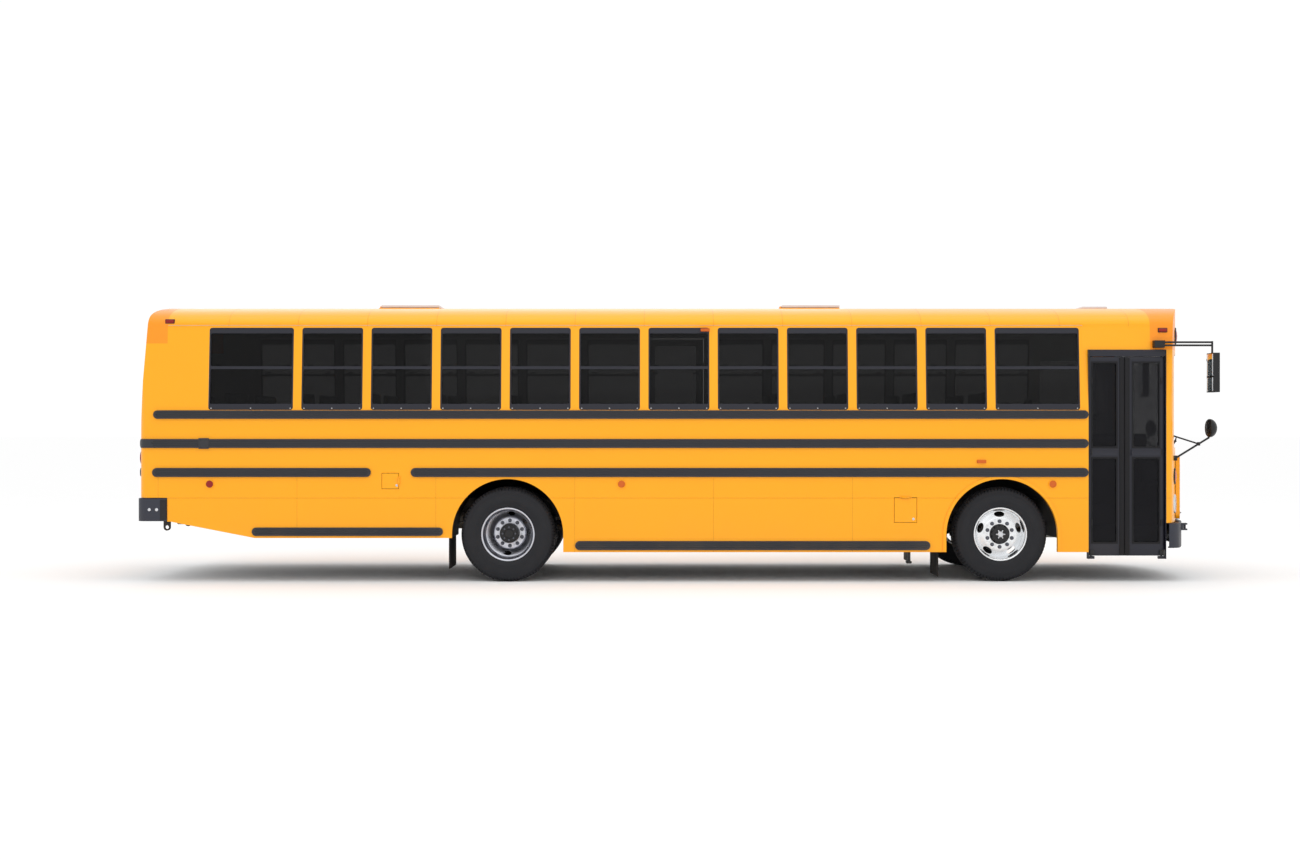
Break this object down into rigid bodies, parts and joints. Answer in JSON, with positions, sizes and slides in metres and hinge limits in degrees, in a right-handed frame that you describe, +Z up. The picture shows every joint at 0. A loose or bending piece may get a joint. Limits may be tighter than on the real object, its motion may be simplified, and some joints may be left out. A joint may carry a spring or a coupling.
{
  "type": "school bus",
  "caption": "Flat-nosed yellow school bus with opening doors, hatches and flaps, steered front wheels, twin rear wheels, seats and a swing-out stop arm.",
  "frame": {"origin": "on the ground, under the middle of the overall box", "axes": "+X forward, +Y to the driver's (left) side, +Z up"},
  "size_m": [12.051, 2.678, 3.145],
  "materials": {
    "body_yellow": "glossy",
    "cap_orange": "glossy",
    "underbody_steel": "matt",
    "black_paint": "satin",
    "navy_paint": "satin",
    "tinted_glass": "glossy tinted",
    "rail_charcoal": "satin",
    "seat_vinyl": "grained",
    "cabin_plastic": "textured",
    "flap_rubber": "matt",
    "tyre_rubber": "matt",
    "rim_metal": "polished",
    "clear_lens": "clear",
    "amber_lens": "clear",
    "red_lens": "clear",
    "hatch_plastic": "translucent",
    "sign_red": "glossy",
    "arm_yellow": "satin"
  },
  "bodies": {
    "bus_body": {"side_wall_right": "body_yellow", "side_wall_left": "body_yellow", "roof": "body_yellow", "front_cap": "cap_orange", "front_wall": "body_yellow", "rear_cap": "cap_orange", "rear_wall": "body_yellow", "floor": "underbody_steel", "wheel_housings": "black_paint", "window_frames": "navy_paint", "window_glass": "tinted_glass", "windshield": "tinted_glass", "rub_rails": "rail_charcoal", "chassis_frame": "black_paint", "front_axle": "black_paint", "rear_axle": "black_paint", "leaf_springs": "underbody_steel", "front_bumper": "black_paint", "rear_bumper": "navy_paint", "mirrors": "black_paint", "head_lamps": "clear_lens", "amber_lamps": "amber_lens", "red_lamps": "red_lens", "bench_pads": "seat_vinyl", "bench_frames": "underbody_steel", "driver_seat": "seat_vinyl", "dashboard": "cabin_plastic", "engine_cover": "cabin_plastic", "engine": "underbody_steel", "exhaust": "underbody_steel", "fuel_tank": "black_paint", "mud_flaps": "flap_rubber", "door_frame": "navy_paint"},
    "knuckle_left": {"knuckle_left": "underbody_steel"},
    "knuckle_right": {"knuckle_right": "underbody_steel"},
    "tie_rod": {"tie_rod": "underbody_steel"},
    "wheel_front_left": {"front_left_tyre": "tyre_rubber", "front_left_rim": "rim_metal"},
    "wheel_front_right": {"front_right_tyre": "tyre_rubber", "front_right_rim": "rim_metal"},
    "wheels_rear_left": {"rear_left_tyres": "tyre_rubber", "rear_left_rims": "rim_metal"},
    "wheels_rear_right": {"rear_right_tyres": "tyre_rubber", "rear_right_rims": "rim_metal"},
    "steering_wheel": {"steering_wheel": "cabin_plastic"},
    "entrance_leaf_rear": {"entrance_leaf_rear": "navy_paint", "entrance_glass_rear": "tinted_glass"},
    "entrance_leaf_front": {"entrance_leaf_front": "navy_paint", "entrance_glass_front": "tinted_glass"},
    "rear_door": {"rear_door": "body_yellow", "rear_door_glass": "tinted_glass"},
    "side_door": {"side_door": "body_yellow", "side_door_glass": "tinted_glass"},
    "front_hood": {"front_hood": "body_yellow"},
    "roof_hatch_rear": {"roof_hatch_rear": "hatch_plastic"},
    "roof_hatch_front": {"roof_hatch_front": "hatch_plastic"},
    "stop_arm": {"stop_arm": "sign_red"},
    "crossing_arm": {"crossing_arm": "arm_yellow"},
    "fuel_door": {"fuel_door": "body_yellow"},
    "battery_door": {"battery_door": "body_yellow"}
  },
  "joints": [
    {"name": "steer_left", "type": "hinge", "parent": "bus_body", "child": "knuckle_left", "pos_m": [3.57, 0.88, 0.525], "axis": [0, 0, 1], "range_deg": [-38, 38]},
    {"name": "steer_right", "type": "hinge", "parent": "bus_body", "child": "knuckle_right", "pos_m": [3.57, -0.88, 0.525], "axis": [0, 0, 1], "range_deg": [-38, 38]},
    {"name": "tie_rod_pivot", "type": "hinge", "parent": "knuckle_left", "child": "tie_rod", "pos_m": [3.41, 0.88, 0.4], "axis": [0, 0, 1], "range_deg": [-38, 38]},
    {"name": "spin_front_left", "type": "hinge", "parent": "knuckle_left", "child": "wheel_front_left", "pos_m": [3.57, 1.03, 0.525], "axis": [0, 1, 0], "continuous": true},
    {"name": "spin_front_right", "type": "hinge", "parent": "knuckle_right", "child": "wheel_front_right", "pos_m": [3.57, -1.03, 0.525], "axis": [0, 1, 0], "continuous": true},
    {"name": "spin_rear_left", "type": "hinge", "parent": "bus_body", "child": "wheels_rear_left", "pos_m": [-1.916, 0.892, 0.525], "axis": [0, 1, 0], "continuous": true},
    {"name": "spin_rear_right", "type": "hinge", "parent": "bus_body", "child": "wheels_rear_right", "pos_m": [-1.916, -0.892, 0.525], "axis": [0, 1, 0], "continuous": true},
    {"name": "steering_wheel_turn", "type": "hinge", "parent": "bus_body", "child": "steering_wheel", "pos_m": [5, 0.7, 1.79], "axis": [-0.4226, 0, 0.9063], "range_deg": [-608, 608]},
    {"name": "entrance_leaf_rear_swing", "type": "hinge", "parent": "bus_body", "child": "entrance_leaf_rear", "pos_m": [4.571, -1.1625, 1.4], "axis": [0, 0, -1], "range_deg": [0, 90]},
    {"name": "entrance_leaf_front_swing", "type": "hinge", "parent": "bus_body", "child": "entrance_leaf_front", "pos_m": [5.355, -1.1625, 1.4], "axis": [0, 0, 1], "range_deg": [0, 90]},
    {"name": "rear_door_swing", "type": "hinge", "parent": "bus_body", "child": "rear_door", "pos_m": [-6.028, -0.388, 1.8], "axis": [0, 0, 1], "range_deg": [0, 100]},
    {"name": "side_door_swing", "type": "hinge", "parent": "bus_body", "child": "side_door", "pos_m": [0.356, 1.235, 1.8], "axis": [0, 0, -1], "range_deg": [0, 100]},
    {"name": "front_hood_lift", "type": "hinge", "parent": "bus_body", "child": "front_hood", "pos_m": [5.785, 0, 1.415], "axis": [0, -1, 0], "range_deg": [0, 60]},
    {"name": "roof_hatch_rear_lift", "type": "hinge", "parent": "bus_body", "child": "roof_hatch_rear", "pos_m": [-3.484, 0, 3.128], "axis": [0, -1, 0], "range_deg": [0, 60]},
    {"name": "roof_hatch_front_lift", "type": "hinge", "parent": "bus_body", "child": "roof_hatch_front", "pos_m": [1.195, 0, 3.128], "axis": [0, -1, 0], "range_deg": [0, 60]},
    {"name": "stop_arm_swing", "type": "hinge", "parent": "bus_body", "child": "stop_arm", "pos_m": [2.75, 1.256, 1.375], "axis": [0, 0, -1], "range_deg": [0, 90]},
    {"name": "crossing_arm_swing", "type": "hinge", "parent": "bus_body", "child": "crossing_arm", "pos_m": [5.68749, -0.95, 0.6], "axis": [0, 0, -1], "range_deg": [0, 90]},
    {"name": "fuel_door_swing", "type": "hinge", "parent": "bus_body", "child": "fuel_door", "pos_m": [-3.118, -1.229, 1.121], "axis": [0, 0, 1], "range_deg": [0, 110]},
    {"name": "battery_door_lift", "type": "hinge", "parent": "bus_body", "child": "battery_door", "pos_m": [2.5005, -1.229, 0.942], "axis": [-1, 0, 0], "range_deg": [0, 100]}
  ],
  "couplings": [
    {"joint": "steer_right", "follows": "steer_left", "ratio": 1},
    {"joint": "tie_rod_pivot", "follows": "steer_left", "ratio": -1},
    {"joint": "steering_wheel_turn", "follows": "steer_left", "ratio": 16}
  ]
}
